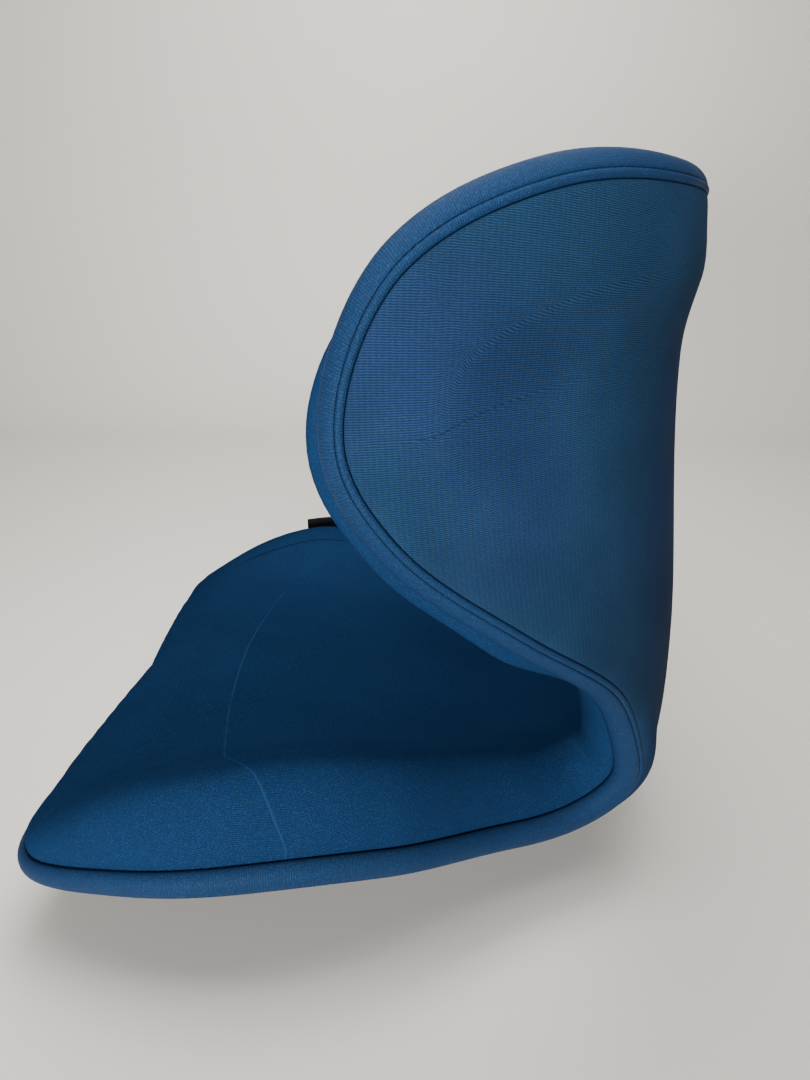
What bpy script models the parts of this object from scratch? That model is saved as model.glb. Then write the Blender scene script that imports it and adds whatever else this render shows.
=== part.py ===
"""Hip-hugging posture seat: seat pan and wrap-around back in one padded, fabric-covered shell.

Metres, +Z up. The sitter faces -Y and sits with the back to +Y; +X is the sitter's left.
Every layer follows one panel surface: a centre line that bends from the pan up into the back,
with its sides turned up towards the sitter. A point of the panel is named by its distance s
along the centre line from the front edge and its distance w across, both measured flat.
A layer lies at a lift above the panel, positive towards the sitter.
"""

import math

import bmesh
import bpy
import numpy as np

MM = 0.001
GAP = 0.4
FOAM_GAP = 1.5

# Panel, in millimetres and degrees
FRONT_EDGE_Y = -155.28
FRONT_EDGE_Z = 46.2
CENTRE_SLOPE = [(0, 4), (80, -4), (180, -10), (235, -2), (290, 33), (345, 81), (400, 92.5), (480, 95),
                (560, 87), (612, 80)]
SIDE_TURN = [(0, -1), (100, 18), (200, 33), (290, 52), (350, 73), (420, 80), (520, 85), (612, 85)]
SIDE_REACH = 300
LINEAR_SHARE = 0.5
SIDE_SAMPLES = 48
PANEL_LENGTH = 612
OUTLINE = [(0, 0), (-6, 60), (-9, 121), (-5, 170), (46, 197), (97, 206), (163, 188), (228, 150), (286, 133),
           (324, 138), (382, 161), (437, 217), (483, 264), (518, 281), (564, 262), (594, 206), (608, 118),
           (612, 0)]
OUTLINE_FINE = 3000
OUTLINE_POINTS = 1200
FRONT_CORNER = (2, 178)
TOP_CORNER = (569, 257)

# Divisions of the half panel
FRONT_STEPS = 6
SIDE_STEPS = 18
BEND_ROW = 8
EDGE_INSETS = [6, 9, 15, 25]

# Layers, as lifts from the panel in millimetres
SHELL_TOP = -2.0
SHELL_THICKNESS = 3.0
REAR_COVER_TOP = SHELL_TOP - SHELL_THICKNESS - GAP
REAR_COVER_EDGE = -7.2
REAR_COVER_BOTTOM = -9.0
FRONT_COVER_THICKNESS = 1.5
COVER_TURN = 1.2
SEAM_LIFT = 6
CREST_INSET = 25
RIM_WIDTH = 100
PAD_HEIGHT = [(0, 13), (60, 18), (110, 26), (200, 26), (260, 25), (300, 23), (450, 21), (612, 18)]
CREST_HEIGHT = [(0, 15), (50, 33), (110, 43), (200, 39), (260, 33), (330, 29), (450, 27), (612, 21)]

# Edge trim
BAND_RADIUS = 4.5
PIPING_RADIUS = 1.4
PIPING_INSET = 3.5
PIPING_LIFT = -7.2

# Base, pads and screws
BASE_S = (70, 262)
BASE_W = 96
BASE_CLEARANCE = 1.4
BASE_BOTTOM = 2.5
BASE_TAPER = 0.94
BASE_RINGS = (0.35, 0.7, 1.0)
BASE_SIDES = 32
BASE_SQUARENESS = 0.7
BASE_SHARP_ANGLE = 35
PAD_RADIUS = 13
PAD_THICKNESS = 3.2
PAD_BEVEL = 0.6
PAD_PLACES = [(-62, -48), (62, -48), (-62, 66), (62, 66)]
SCREW_PLACES = [(-46, -30), (46, -30), (-40, 38), (40, 38)]
BOSS_RADIUS = 6.5
BOSS_DROP = 7
PILOT_RADIUS = 1.9
PILOT_DEPTH = 8
SHANK_RADIUS = 1.6
HEAD_RADIUS = 4.0
HEAD_HEIGHT = 2.4
FLOOR_UNDER_HEAD = 4
CLEARANCE_RADIUS = 2.4
BOSS_OVERLAP = 1.5
SOCKET_REACH = 40
WELL_ROOM = 1
TIP_ROOM = 1.5
CUT_PAST = 1
ROUND_SIDES = 20
PAN_SPAN = (40, 290)

# Sewn tag on the sitter's right
TAG_S = 103
TAG_LENGTH = 44
TAG_LEAN = [(0, 0), (0.6, 17), (2.5, 34)]
TAG_THICKNESS = 1.0


def smooth(rows, x):
    """Cubic curve through rows of (key, value, ...), read at x."""
    rows = np.asarray(rows, float)
    keys, values = rows[:, 0], rows[:, 1:]
    steps = np.diff(keys)[:, None]
    slopes = np.diff(values, axis=0) / steps
    tangents = np.empty_like(values)
    tangents[1:-1] = (slopes[:-1] * steps[1:] + slopes[1:] * steps[:-1]) / (steps[1:] + steps[:-1])
    tangents[0], tangents[-1] = slopes[0], slopes[-1]
    x = np.asarray(x, float)
    i = np.clip(np.searchsorted(keys, x) - 1, 0, len(keys) - 2)
    h = steps[i]
    u = np.clip((x - keys[i])[..., None] / h, 0, 1)
    start = (2 * u**3 - 3 * u**2 + 1) * values[i] + (u**3 - 2 * u**2 + u) * h * tangents[i]
    end = (3 * u**2 - 2 * u**3) * values[i + 1] + (u**3 - u**2) * h * tangents[i + 1]
    result = start + end
    return result[..., 0] if values.shape[1] == 1 else result


def centre_table():
    """Centre line as columns s, y, z and slope, one row a millimetre, run on straight past its ends."""
    s = np.arange(-100.0, PANEL_LENGTH + 101)
    slope = np.radians(smooth(CENTRE_SLOPE, np.clip(s, 0, PANEL_LENGTH)))
    middle = (slope[1:] + slope[:-1]) / 2
    y = np.concatenate([[0], np.cumsum(np.cos(middle))])
    z = np.concatenate([[0], np.cumsum(np.sin(middle))])
    y += FRONT_EDGE_Y - np.interp(0, s, y)
    z += FRONT_EDGE_Z - np.interp(0, s, z)
    return np.column_stack([s, y, z, slope])


CENTRE = centre_table()


def panel(s, w):
    """Points of the panel, in millimetres."""
    s, w = np.broadcast_arrays(np.asarray(s, float), np.asarray(w, float))
    y, z, slope = (np.interp(s, CENTRE[:, 0], CENTRE[:, k]) for k in (1, 2, 3))
    turn = np.radians(smooth(SIDE_TURN, np.clip(s, 0, PANEL_LENGTH)))
    along = (np.arange(SIDE_SAMPLES) + 0.5) / SIDE_SAMPLES
    t = np.minimum(np.abs(w)[..., None] * along / SIDE_REACH, 1)
    share = LINEAR_SHARE * t + (1 - LINEAR_SHARE) * (3 * t**2 - 2 * t**3)
    angle = turn[..., None] * share
    across = w * np.cos(angle).mean(-1)
    rise = np.abs(w) * np.sin(angle).mean(-1)
    return np.stack([across, y - np.sin(slope) * rise, z + np.cos(slope) * rise], -1)


def panel_normal(s, w):
    """Unit normals of the panel, towards the sitter."""
    s, w = np.asarray(s, float), np.asarray(w, float)
    normal = np.cross(panel(s, w + 1) - panel(s, w - 1), panel(s + 1, w) - panel(s - 1, w))
    return normal / np.linalg.norm(normal, axis=-1, keepdims=True)


def lifted(points, lift):
    """Points of the panel moved along its normal, in metres."""
    s, w = points[:, 0], points[:, 1]
    lift = np.broadcast_to(np.asarray(lift, float), s.shape)
    return (panel(s, w) + lift[:, None] * panel_normal(s, w)) * MM


def even_outline():
    """Half the flat outline, front centre to top centre, with evenly spaced points."""
    corners = np.array(OUTLINE, float)
    chords = np.linalg.norm(np.diff(corners, axis=0), axis=1)
    keys = np.concatenate([[0], np.cumsum(np.sqrt(chords))])
    fine = smooth(np.column_stack([keys, corners]), np.linspace(0, keys[-1], OUTLINE_FINE))
    length = np.concatenate([[0], np.cumsum(np.linalg.norm(np.diff(fine, axis=0), axis=1))])
    even = np.linspace(0, length[-1], OUTLINE_POINTS)
    return np.column_stack([np.interp(even, length, fine[:, k]) for k in (0, 1)])


EDGE = even_outline()


def nearest_edge_index(place):
    """Index of the outline point nearest to a flat place."""
    return int(np.argmin(np.linalg.norm(EDGE - np.array(place), axis=1)))


def edge_stations():
    """Outline indices where the panel's rows and columns meet the edge."""
    front, top, end = nearest_edge_index(FRONT_CORNER), nearest_edge_index(TOP_CORNER), len(EDGE) - 1
    parts = [np.linspace(0, front, FRONT_STEPS + 1), np.linspace(front, top, SIDE_STEPS + 1)[1:],
             np.linspace(top, end, FRONT_STEPS + 1)[1:]]
    return np.concatenate(parts)


def inset_loop(inset):
    """Half the outline moved in by a distance, at the stations."""
    tangent = np.gradient(EDGE, axis=0)
    tangent[0], tangent[-1] = (0, 1), (0, -1)
    tangent /= np.linalg.norm(tangent, axis=1, keepdims=True)
    moved = EDGE + inset * np.column_stack([tangent[:, 1], -tangent[:, 0]])
    moved[0, 1] = moved[-1, 1] = 0
    stations = edge_stations()
    return np.column_stack([np.interp(stations, np.arange(len(EDGE)), moved[:, k]) for k in (0, 1)])


def edge_distance(points):
    """Distance of flat places from the outline."""
    both = np.concatenate([EDGE, EDGE * (1, -1)])
    return np.array([np.linalg.norm(both - p, axis=1).min() for p in points])


def coons_patch(loop):
    """Grid of flat places inside the half loop, [column][row], column 0 on the centre line."""
    front = loop[: FRONT_STEPS + 1]
    side = loop[FRONT_STEPS : FRONT_STEPS + SIDE_STEPS + 1]
    top = loop[FRONT_STEPS + SIDE_STEPS :][::-1]
    u = np.linspace(0, 1, FRONT_STEPS + 1)[:, None, None]
    v = np.linspace(0, 1, SIDE_STEPS + 1)[None, :, None]
    centre = front[0] + v * (top[0] - front[0])
    across = (1 - v) * front[:, None] + v * top[:, None]
    upward = (1 - u) * centre + u * side[None]
    flat = (1 - u) * ((1 - v) * front[0] + v * top[0]) + u * ((1 - v) * front[-1] + v * top[-1])
    return across + upward - flat


def half_pattern(insets):
    """Flat places and triangles of half the panel, with the row each triangle is in.

    Loops follow the edge at the given insets, and a grid fills the rest.
    """
    loops = [inset_loop(inset) for inset in insets]
    grid = coons_patch(loops[-1])
    stations = len(loops[0])
    places = [tuple(p) for loop in loops for p in loop]
    inner_start = (len(loops) - 1) * stations
    ids = np.zeros(grid.shape[:2], int)
    for column in range(FRONT_STEPS + 1):
        for row in range(SIDE_STEPS + 1):
            if row == 0:
                ids[column, row] = inner_start + column
            elif row == SIDE_STEPS:
                ids[column, row] = inner_start + stations - 1 - column
            elif column == FRONT_STEPS:
                ids[column, row] = inner_start + FRONT_STEPS + row
            else:
                ids[column, row] = len(places)
                places.append(tuple(grid[column, row]))
    quads, rows = [], []
    for ring in range(len(loops) - 1):
        for i in range(stations - 1):
            a = ring * stations + i
            quads.append((a, a + 1, a + 1 + stations, a + stations))
            rows.append(i - FRONT_STEPS)
    for column in range(FRONT_STEPS):
        for row in range(SIDE_STEPS):
            left, right = ids[column], ids[column + 1]
            quads.append((left[row], right[row], right[row + 1], left[row + 1]))
            rows.append(row)
    triangles = [t for a, b, c, d in quads for t in ((a, b, c), (a, c, d))]
    return np.array(places), triangles, np.repeat(rows, 2)


def material(name, colour, roughness, metallic=0.0):
    """Principled material of one part."""
    made = bpy.data.materials.new(name)
    made.use_nodes = True
    shader = made.node_tree.nodes["Principled BSDF"]
    shader.inputs["Base Color"].default_value = (*colour, 1)
    shader.inputs["Roughness"].default_value = roughness
    shader.inputs["Metallic"].default_value = metallic
    return made


def add_object(name, mesh, finish, collection):
    """New object with one material."""
    made = bpy.data.objects.new(name, mesh)
    if finish:
        mesh.materials.append(finish)
    collection.objects.link(made)
    return made


def mesh_from(name, points, faces):
    """Smooth-shaded mesh without its unused points."""
    bm = bmesh.new()
    verts = [bm.verts.new(p) for p in points]
    for face in faces:
        bm.faces.new([verts[i] for i in face])
    bmesh.ops.delete(bm, geom=[v for v in bm.verts if not v.link_faces], context="VERTS")
    mesh = bpy.data.meshes.new(name)
    bm.to_mesh(mesh)
    bm.free()
    mesh.shade_smooth()
    return mesh


def add_mirror(made):
    """Mirror across X, joined at the middle."""
    mirror = made.modifiers.new("Mirror", "MIRROR")
    mirror.use_axis = (True, False, False)
    mirror.merge_threshold = 0.0001


def border_edges(triangles, on_centre):
    """Directed edges that only one triangle has, apart from those on the centre line."""
    edges = {(t[i], t[(i + 1) % 3]) for t in triangles for i in range(3)}
    return sorted((a, b) for a, b in edges if (b, a) not in edges and not (on_centre[a] and on_centre[b]))


def slab(name, low, high, triangles, finish, collection):
    """Closed layer between two (places, lift) surfaces, lofted as one half and mirrored."""
    count = len(low[0])
    points = np.concatenate([lifted(*low), lifted(*high)])
    on_centre = np.abs(low[0][:, 1]) < 1e-6
    faces = [(a, c, b) for a, b, c in triangles]
    faces += [(a + count, b + count, c + count) for a, b, c in triangles]
    for a, b in border_edges(triangles, on_centre):
        faces += [(b + count, a + count, a), (b + count, a, b)]
    made = add_object(name, mesh_from(name, points, faces), finish, collection)
    add_mirror(made)
    return made


def cushion_top(places):
    """Lift of the cover's outer face: a dished pad with a rolled rim along its edge."""
    s, inset = places[:, 0], edge_distance(places)
    pad, crest = smooth(PAD_HEIGHT, s), smooth(CREST_HEIGHT, s)
    first = EDGE_INSETS[0]
    rise = np.clip((CREST_INSET - inset) / (CREST_INSET - first), 0, 1)
    shoulder = SEAM_LIFT + (crest - SEAM_LIFT) * np.sqrt(1 - rise**2)
    t = np.clip((inset - CREST_INSET) / (RIM_WIDTH - CREST_INSET), 0, 1)
    dish = crest + (pad - crest) * t * t * (3 - 2 * t)
    return np.where(inset < CREST_INSET, shoulder, dish)


def inner_pattern():
    """Pattern of the layers inside the cover, drawn in from the edge."""
    return half_pattern([inset + COVER_TURN + GAP for inset in EDGE_INSETS])


def make_shell(collection):
    """Moulded polypropylene shell, one surface thickened towards the floor."""
    places, triangles, _ = inner_pattern()
    mesh = mesh_from("shell", lifted(places, SHELL_TOP), triangles)
    made = add_object("shell", mesh, material("shell_plastic", (0.03, 0.03, 0.032), 0.5), collection)
    add_mirror(made)
    thicken = made.modifiers.new("Thickness", "SOLIDIFY")
    thicken.thickness = SHELL_THICKNESS * MM
    thicken.offset = -1
    return made


def make_foams(collection):
    """Seat foam and back foam, cut apart at the bend."""
    outside, triangles, rows = half_pattern(EDGE_INSETS)
    places = inner_pattern()[0]
    top = cushion_top(outside) - FRONT_COVER_THICKNESS - GAP
    finish = material("foam", (0.75, 0.72, 0.62), 0.95)
    seat = [t for t, row in zip(triangles, rows) if row < BEND_ROW]
    back = [t for t, row in zip(triangles, rows) if row >= BEND_ROW]
    shared = sorted({i for t in seat for i in t} & {i for t in back for i in t})
    for name, part, side in (("seat_foam", seat, -1), ("back_foam", back, 1)):
        moved, low, high = places.copy(), np.full(len(places), SHELL_TOP + GAP), top.copy()
        moved[shared, 0] += side * FOAM_GAP
        low[shared] += FOAM_GAP
        high[shared] -= FOAM_GAP
        slab(name, (moved, low), (moved, high), part, finish, collection)


def make_covers(collection):
    """Stretch cover over the foam, and the ribbed knit cover over the shell's outer side."""
    places, triangles, _ = half_pattern(EDGE_INSETS)
    top = cushion_top(places)
    inside = half_pattern([inset + COVER_TURN for inset in EDGE_INSETS])[0]
    front_finish = material("stretch_cover", (0.012, 0.045, 0.12), 0.55)
    skin = top - FRONT_COVER_THICKNESS
    slab("front_cover", (inside, skin), (places, top), triangles, front_finish, collection)
    inset = edge_distance(places)
    ramp = np.clip((inset - EDGE_INSETS[0]) / (EDGE_INSETS[1] - EDGE_INSETS[0]), 0, 1)
    under = REAR_COVER_EDGE + (REAR_COVER_BOTTOM - REAR_COVER_EDGE) * ramp
    rear_finish = material("ribbed_cover", (0.016, 0.05, 0.13), 0.8)
    over = (inner_pattern()[0], REAR_COVER_TOP)
    return slab("rear_cover", (places, under), over, triangles, rear_finish, collection)


def make_trim(name, inset, lift, radius, finish, collection):
    """Round cord that runs all the way round the edge."""
    half = lifted(inset_loop(inset), lift)
    other = half[1:-1][::-1] * (-1, 1, 1)
    path = np.concatenate([half, other])
    curve = bpy.data.curves.new(name, "CURVE")
    curve.dimensions = "3D"
    curve.bevel_depth = radius * MM
    curve.bevel_resolution = 2
    spline = curve.splines.new("POLY")
    spline.points.add(len(path) - 1)
    for point, place in zip(spline.points, path):
        point.co = (*place, 1)
    spline.use_cyclic_u = True
    curve.materials.append(finish)
    made = bpy.data.objects.new(name, curve)
    collection.objects.link(made)
    return made


def make_base(collection):
    """Moulded base that fills the space between the curved pan and the floor."""
    middle, half_length = sum(BASE_S) / 2, (BASE_S[1] - BASE_S[0]) / 2
    rings, sides = BASE_RINGS, BASE_SIDES
    flat = [(middle, 0.0)]
    for ring in rings:
        for k in range(sides):
            turn = 2 * math.pi * k / sides
            c, s = math.cos(turn), math.sin(turn)
            flat.append((middle + ring * half_length * math.copysign(abs(c) ** BASE_SQUARENESS, c),
                         ring * BASE_W * math.copysign(abs(s) ** BASE_SQUARENESS, s)))
    flat = np.array(flat)
    top = lifted(flat, REAR_COVER_BOTTOM - BASE_CLEARANCE)
    foot = top.copy()
    centre = foot[0].copy()
    foot[:, :2] = centre[:2] + BASE_TAPER * (foot[:, :2] - centre[:2])
    foot[:, 2] = BASE_BOTTOM * MM
    first = 1 + (len(rings) - 1) * sides
    foot_ring = foot[first:]
    points = np.concatenate([top, foot_ring])
    faces = [(0, 1 + (k + 1) % sides, 1 + k) for k in range(sides)]
    for ring in range(len(rings)):
        for k in range(sides):
            a = 1 + ring * sides + k
            b = 1 + ring * sides + (k + 1) % sides
            faces += [(a, b, b + sides), (a, b + sides, a + sides)]
    faces.append(tuple(len(top) + k for k in range(sides)))
    mesh = mesh_from("base_plate", points, faces)
    made = add_object("base_plate", mesh, material("base_plastic", (0.02, 0.02, 0.022), 0.55), collection)
    bm = bmesh.new()
    bm.from_mesh(mesh)
    bmesh.ops.recalc_face_normals(bm, faces=bm.faces)
    bm.to_mesh(mesh)
    bm.free()
    mesh.set_sharp_from_angle(angle=math.radians(BASE_SHARP_ANGLE))
    return made


def turned(name, profile, place, finish, collection):
    """Turned piece: a profile of (radius, height) run from the top to the bottom, in millimetres."""
    mesh = bpy.data.meshes.new(name)
    points = [(r * MM, 0, z * MM) for r, z in profile]
    mesh.from_pydata(points, [(i, i + 1) for i in range(len(points) - 1)], [])
    made = add_object(name, mesh, finish, collection)
    made.location = [v * MM for v in place]
    spin = made.modifiers.new("Turn", "SCREW")
    spin.steps = spin.render_steps = ROUND_SIDES
    spin.use_merge_vertices = True
    spin.merge_threshold = 0.00005
    spin.use_smooth_shade = False
    return made


def rod(name, radius, low, high, place, collection):
    """Plain upright rod between two heights, for cutting or joining, that isn't part of the model."""
    profile = [(0, high), (radius, high), (radius, low), (0, low)]
    made = turned(name, profile, (*place, 0), None, collection)
    made.hide_render = True
    made.display_type = "WIRE"
    return made


def pan_height(x, y, lift):
    """Height of the panel at a lift, above a place on the floor."""
    grid_s, grid_w = np.meshgrid(np.arange(*PAN_SPAN), np.arange(BASE_W))
    flat = np.column_stack([grid_s.ravel(), grid_w.ravel()])
    points = lifted(flat, lift) / MM
    nearest = np.argmin((points[:, 0] - abs(x)) ** 2 + (points[:, 1] - y) ** 2)
    return points[nearest, 2]


def boolean(made, tool, operation):
    """Join or cut with another object, exactly."""
    change = made.modifiers.new(tool.name, "BOOLEAN")
    change.operation = operation
    change.solver = "EXACT"
    change.object = tool


def fasten(shell, cover, base, collection, cutters):
    """Shell bosses, holes in cover and base, and the screws that hold the base on."""
    steel = material("screw_steel", (0.35, 0.35, 0.36), 0.35, 1.0)
    for number, (x, y) in enumerate(SCREW_PLACES, start=1):
        shell_under = pan_height(x, y, SHELL_TOP - SHELL_THICKNESS)
        boss_foot = shell_under - BOSS_DROP
        head_seat = boss_foot - GAP - FLOOR_UNDER_HEAD
        sizes = {
            "boss": (BOSS_RADIUS, boss_foot, shell_under + BOSS_OVERLAP),
            "pilot": (PILOT_RADIUS, boss_foot - CUT_PAST, boss_foot + PILOT_DEPTH),
            "socket": (BOSS_RADIUS + GAP, boss_foot - GAP, boss_foot + SOCKET_REACH),
            "shaft": (CLEARANCE_RADIUS, head_seat - CUT_PAST, boss_foot + CUT_PAST),
            "well": (HEAD_RADIUS + WELL_ROOM, -CUT_PAST, head_seat),
        }
        rods = {kind: rod(f"{kind}_{number}", *size, (x, y), cutters) for kind, size in sizes.items()}
        boolean(shell, rods["boss"], "UNION")
        boolean(shell, rods["pilot"], "DIFFERENCE")
        boolean(cover, rods["socket"], "DIFFERENCE")
        for kind in ("socket", "shaft", "well"):
            boolean(base, rods[kind], "DIFFERENCE")
        under_head = head_seat - GAP
        tip = boss_foot + PILOT_DEPTH - TIP_ROOM
        head_top = under_head - HEAD_HEIGHT
        profile = [(0, tip), (SHANK_RADIUS / 2, tip), (SHANK_RADIUS, tip - SHANK_RADIUS),
                   (SHANK_RADIUS, under_head), (HEAD_RADIUS, under_head),
                   (HEAD_RADIUS, under_head - HEAD_HEIGHT / 2),
                   (HEAD_RADIUS * 0.75, head_top), (0, head_top)]
        turned(f"base_screw_{number}", profile, (x, y, 0), steel, collection)


def make_pads(base, collection, cutters):
    """Rubber pads set into shallow recesses under the base."""
    rubber = material("pad_rubber", (0.03, 0.03, 0.03), 0.9)
    recess_top = PAD_THICKNESS + GAP
    for number, place in enumerate(PAD_PLACES, start=1):
        recess = rod(f"recess_{number}", PAD_RADIUS + GAP, -CUT_PAST, recess_top, place, cutters)
        boolean(base, recess, "DIFFERENCE")
        profile = [(0, PAD_THICKNESS), (PAD_RADIUS, PAD_THICKNESS), (PAD_RADIUS, PAD_BEVEL),
                   (PAD_RADIUS - PAD_BEVEL, 0), (0, 0)]
        turned(f"grip_pad_{number}", profile, (*place, 0), rubber, collection)


def make_tag(collection):
    """Folded woven tag sewn into the edge on the sitter's right, standing against the rim."""
    start = int(np.argmin(np.abs(EDGE[:, 0] - (TAG_S - TAG_LENGTH / 2))))
    end = int(np.argmin(np.abs(EDGE[:, 0] - (TAG_S + TAG_LENGTH / 2))))
    feet = EDGE[np.linspace(start, end, 5).astype(int)] * (1, -1)
    low = lifted(feet, BAND_RADIUS + GAP) / MM
    low[:, 0] += TAG_THICKNESS
    points, faces = [], []
    for lean, rise in TAG_LEAN:
        for side in (0, TAG_THICKNESS):
            points.append(low + (lean - side, 0, rise))
    count = len(low)
    points = np.concatenate(points) * MM
    levels = len(TAG_LEAN)
    for level in range(levels - 1):
        for side in (0, 1):
            a = (2 * level + side) * count
            b = a + 2 * count
            for k in range(count - 1):
                faces.append((a + k, a + k + 1, b + k + 1, b + k))
    for row in (0, 2 * (levels - 1)):
        for k in range(count - 1):
            a = row * count
            faces.append((a + k, a + k + 1, a + count + k + 1, a + count + k))
    for level in range(levels - 1):
        for k in (0, count - 1):
            a = 2 * level * count + k
            faces.append((a, a + count, a + 3 * count, a + 2 * count))
    mesh = mesh_from("side_tag", points, faces)
    bm = bmesh.new()
    bm.from_mesh(mesh)
    bmesh.ops.recalc_face_normals(bm, faces=bm.faces)
    bm.to_mesh(mesh)
    bm.free()
    add_object("side_tag", mesh, material("tag_fabric", (0.008, 0.008, 0.009), 0.85), collection)


def main():
    for old in list(bpy.data.objects):
        bpy.data.objects.remove(old)
    seat = bpy.data.collections.new("posture_seat")
    cutters = bpy.data.collections.new("cutters")
    for collection in (seat, cutters):
        bpy.context.scene.collection.children.link(collection)
    shell = make_shell(seat)
    make_foams(seat)
    cover = make_covers(seat)
    band_finish = material("band_fabric", (0.014, 0.05, 0.13), 0.5)
    make_trim("edge_band", 0, 0, BAND_RADIUS, band_finish, seat)
    piping_finish = material("piping_fabric", (0.012, 0.04, 0.1), 0.6)
    make_trim("piping", PIPING_INSET, PIPING_LIFT, PIPING_RADIUS, piping_finish, seat)
    base = make_base(seat)
    fasten(shell, cover, base, seat, cutters)
    make_pads(base, seat, cutters)
    make_tag(seat)


main()
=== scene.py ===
"""Looks of the posture seat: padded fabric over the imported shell, base, pads and screws.

The padded pieces follow the same curved panel as the CAD layers. A point of the panel is named
by its flat place (s, w): s along the centre line from the front edge, w across, in millimetres.
A lift is a height above the panel, positive towards the sitter. An inset is a distance in from
the panel's outline.
"""
import math

import bmesh
import bpy
import numpy as np
from mathutils import Matrix, Vector


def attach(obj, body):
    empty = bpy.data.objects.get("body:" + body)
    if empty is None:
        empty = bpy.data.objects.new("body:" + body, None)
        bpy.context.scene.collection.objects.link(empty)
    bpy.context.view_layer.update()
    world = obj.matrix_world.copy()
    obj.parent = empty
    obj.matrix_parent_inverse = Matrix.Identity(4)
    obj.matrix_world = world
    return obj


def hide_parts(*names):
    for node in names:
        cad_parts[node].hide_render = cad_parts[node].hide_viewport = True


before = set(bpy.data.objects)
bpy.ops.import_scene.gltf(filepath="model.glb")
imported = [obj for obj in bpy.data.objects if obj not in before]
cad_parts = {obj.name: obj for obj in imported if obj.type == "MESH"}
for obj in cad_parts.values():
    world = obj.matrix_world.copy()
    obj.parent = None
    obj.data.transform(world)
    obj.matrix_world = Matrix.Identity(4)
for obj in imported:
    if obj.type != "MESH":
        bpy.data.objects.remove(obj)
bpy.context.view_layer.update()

MM = 0.001
BODY = "root"

# The panel, as the CAD model has it
FRONT_EDGE_Y = -155.28
FRONT_EDGE_Z = 46.2
CENTRE_SLOPE = [(0, 4), (80, -4), (180, -10), (235, -2), (290, 33), (345, 81), (400, 92.5), (480, 95),
                (560, 87), (612, 80)]
SIDE_TURN = [(0, -1), (100, 18), (200, 33), (290, 52), (350, 73), (420, 80), (520, 85), (612, 85)]
SIDE_REACH = 300
LINEAR_SHARE = 0.5
PANEL_LENGTH = 612
OUTLINE = [(0, 0), (-6, 60), (-9, 121), (-5, 170), (46, 197), (97, 206), (163, 188), (228, 150), (286, 133),
           (324, 138), (382, 161), (437, 217), (483, 264), (518, 281), (564, 262), (594, 206), (608, 118),
           (612, 0)]
FRONT_CORNER = (2, 178)
TOP_CORNER = (569, 257)
CREST_HEIGHT = [(0, 15), (50, 33), (110, 43), (200, 39), (260, 33), (330, 29), (450, 27), (612, 21)]
PAD_HEIGHT = [(0, 13), (60, 18), (110, 26), (200, 26), (260, 25), (300, 23), (450, 21), (612, 18)]

# Fineness of the fabric meshes: steps of half the panel
FRONT_STEPS = 26
SIDE_STEPS = 92

# Edge sections, in millimetres
CREST_INSET = 25
RIM_WIDTH = 100
FRONT_SEAM = (1.6, 5.6)
REAR_LIFT = -9.0
SHELL_TOP = -1.4
SHELL_BOTTOM = -5.4
REAR_EDGE = [(5.5, 0.35), (6.3, 0.66), (8.2, 0.86), (11.5, 1), (16, 1), (22, 1), (29, 1), (37, 1)]
WELT_MIDDLE = (3.9, -7.2)
WELT_HALF = (1.7, 1.25)
ROLL_HEIGHT = 3.2

# Hollow and crease across the seat, as distances along the centre line
HOLLOW_S = 47
HOLLOW_DEPTH = 4.6
CREASE_S = 66

# Cloth simulation of the front cover: frames, pressure, slack of the cloth, farthest move in metres
CLOTH_FRAMES = 18
CLOTH_PRESSURE = 0.6
CLOTH_SLACK = 0.012
CLOTH_REACH = 0.002

# Weave, in metres
RIB_PITCH = 0.0007
WALE_PITCH = 0.0009
COURSE_PITCH = 0.0007

# Lights, in metres and watts
KEY_PLACE = (1.4, -0.3, 0.18)
KEY_TARGET = (0, 0, 0.16)
KEY_SIZE = (0.8, 0.24)
KEY_POWER = 50
WASH_PLACE = (-0.75, 0.0, 1.5)
WASH_TARGET = (-1.7, 0, 0.55)
WASH_SIZE = (0.6, 3.0)
WASH_POWER = 30
WARM_WHITE = (1.0, 0.98, 0.95)
SKY_STRENGTH = 0.06

# Camera, in millimetres and degrees
CAMERA_PLACE = (481.5, 21.4, 308.1)
CAMERA_PITCH = 18.27
CAMERA_YAW = -0.81
CAMERA_ROLL = 0.37
CAMERA_LENS = 27.03


def smooth(rows, x):
    """Cubic curve through rows of (key, value, ...), read at x."""
    rows = np.asarray(rows, float)
    keys, values = rows[:, 0], rows[:, 1:]
    steps = np.diff(keys)[:, None]
    slopes = np.diff(values, axis=0) / steps
    tangents = np.empty_like(values)
    tangents[1:-1] = (slopes[:-1] * steps[1:] + slopes[1:] * steps[:-1]) / (steps[1:] + steps[:-1])
    tangents[0], tangents[-1] = slopes[0], slopes[-1]
    x = np.asarray(x, float)
    i = np.clip(np.searchsorted(keys, x) - 1, 0, len(keys) - 2)
    h = steps[i]
    u = np.clip((x - keys[i])[..., None] / h, 0, 1)
    start = (2 * u**3 - 3 * u**2 + 1) * values[i] + (u**3 - 2 * u**2 + u) * h * tangents[i]
    end = (3 * u**2 - 2 * u**3) * values[i + 1] + (u**3 - u**2) * h * tangents[i + 1]
    result = start + end
    return result[..., 0] if values.shape[1] == 1 else result


def ease(x, low, high):
    """0 below low, 1 above high, smooth between."""
    t = np.clip((np.asarray(x, float) - low) / (high - low), 0, 1)
    return t * t * (3 - 2 * t)


def bump(x, middle, width):
    """Smooth hill of height 1 at middle, gone at width away from it."""
    t = np.clip(1 - np.abs(np.asarray(x, float) - middle) / width, 0, 1)
    return t * t * (3 - 2 * t)


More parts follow.
